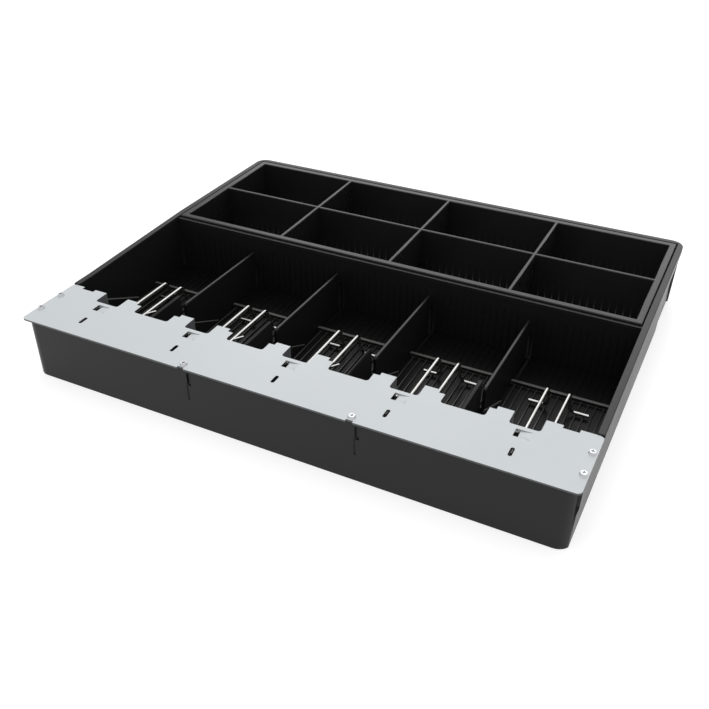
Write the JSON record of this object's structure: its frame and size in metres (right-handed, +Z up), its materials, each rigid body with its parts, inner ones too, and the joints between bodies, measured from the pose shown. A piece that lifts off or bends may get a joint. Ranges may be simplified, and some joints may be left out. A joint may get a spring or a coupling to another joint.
{
  "type": "cash drawer insert",
  "caption": "Till tray with banknote compartments held by hinged wire clips under a steel cover plate, and a lift-out coin tray with scooped cups behind them.",
  "frame": {"origin": "middle of the footprint, on the surface the insert stands on", "axes": "+X to the right seen from the cashier's side, +Y to the back towards the coin tray, +Z up"},
  "size_m": [0.372, 0.3, 0.048],
  "materials": {
    "tray_plastic": "fine moulded texture, satin on the rim",
    "coin_plastic": "fine moulded texture, satin on the rim",
    "divider_plastic": "satin moulded",
    "plate_paint": "light grey fine powder coat",
    "clip_chrome": "bright plated wire",
    "axle_steel": "drawn bar",
    "spring_steel": "drawn spring wire",
    "screw_steel": "zinc plated"
  },
  "bodies": {
    "tray": {"outer_tray": "tray_plastic", "cover_plate": "plate_paint", "bill_divider_1": "divider_plastic", "bill_divider_2": "divider_plastic", "bill_divider_3": "divider_plastic", "bill_divider_4": "divider_plastic", "side_screws": "screw_steel", "front_screws": "screw_steel", "clip_axle_1": "axle_steel", "clip_axle_2": "axle_steel", "clip_axle_3": "axle_steel", "clip_axle_4": "axle_steel", "clip_axle_5": "axle_steel", "clip_spring_1": "spring_steel", "clip_spring_2": "spring_steel", "clip_spring_3": "spring_steel", "clip_spring_4": "spring_steel", "clip_spring_5": "spring_steel"},
    "coin_tray": {"coin_tray": "coin_plastic"},
    "clip_1": {"bill_clip_1": "clip_chrome"},
    "clip_2": {"bill_clip_2": "clip_chrome"},
    "clip_3": {"bill_clip_3": "clip_chrome"},
    "clip_4": {"bill_clip_4": "clip_chrome"},
    "clip_5": {"bill_clip_5": "clip_chrome"}
  },
  "joints": [
    {"name": "coin_tray_lift", "type": "slide", "parent": "tray", "child": "coin_tray", "axis": [0, 0, 1], "range_m": [0, 0.08]},
    {"name": "clip_1_lift", "type": "hinge", "parent": "tray", "child": "clip_1", "pos_m": [-0.146, -0.108, 0.03625], "axis": [1, 0, 0], "range_deg": [0, 80], "stiffness_Nm_per_rad": 0.03, "springref_deg": -34.38, "deforming": ["clip_spring_1"]},
    {"name": "clip_2_lift", "type": "hinge", "parent": "tray", "child": "clip_2", "pos_m": [-0.073, -0.108, 0.03625], "axis": [1, 0, 0], "range_deg": [0, 80], "stiffness_Nm_per_rad": 0.03, "springref_deg": -34.38, "deforming": ["clip_spring_2"]},
    {"name": "clip_3_lift", "type": "hinge", "parent": "tray", "child": "clip_3", "pos_m": [0, -0.108, 0.03625], "axis": [1, 0, 0], "range_deg": [0, 80], "stiffness_Nm_per_rad": 0.03, "springref_deg": -34.38, "deforming": ["clip_spring_3"]},
    {"name": "clip_4_lift", "type": "hinge", "parent": "tray", "child": "clip_4", "pos_m": [0.073, -0.108, 0.03625], "axis": [1, 0, 0], "range_deg": [0, 80], "stiffness_Nm_per_rad": 0.03, "springref_deg": -34.38, "deforming": ["clip_spring_4"]},
    {"name": "clip_5_lift", "type": "hinge", "parent": "tray", "child": "clip_5", "pos_m": [0.146, -0.108, 0.03625], "axis": [1, 0, 0], "range_deg": [0, 80], "stiffness_Nm_per_rad": 0.03, "springref_deg": -34.38, "deforming": ["clip_spring_5"]}
  ]
}
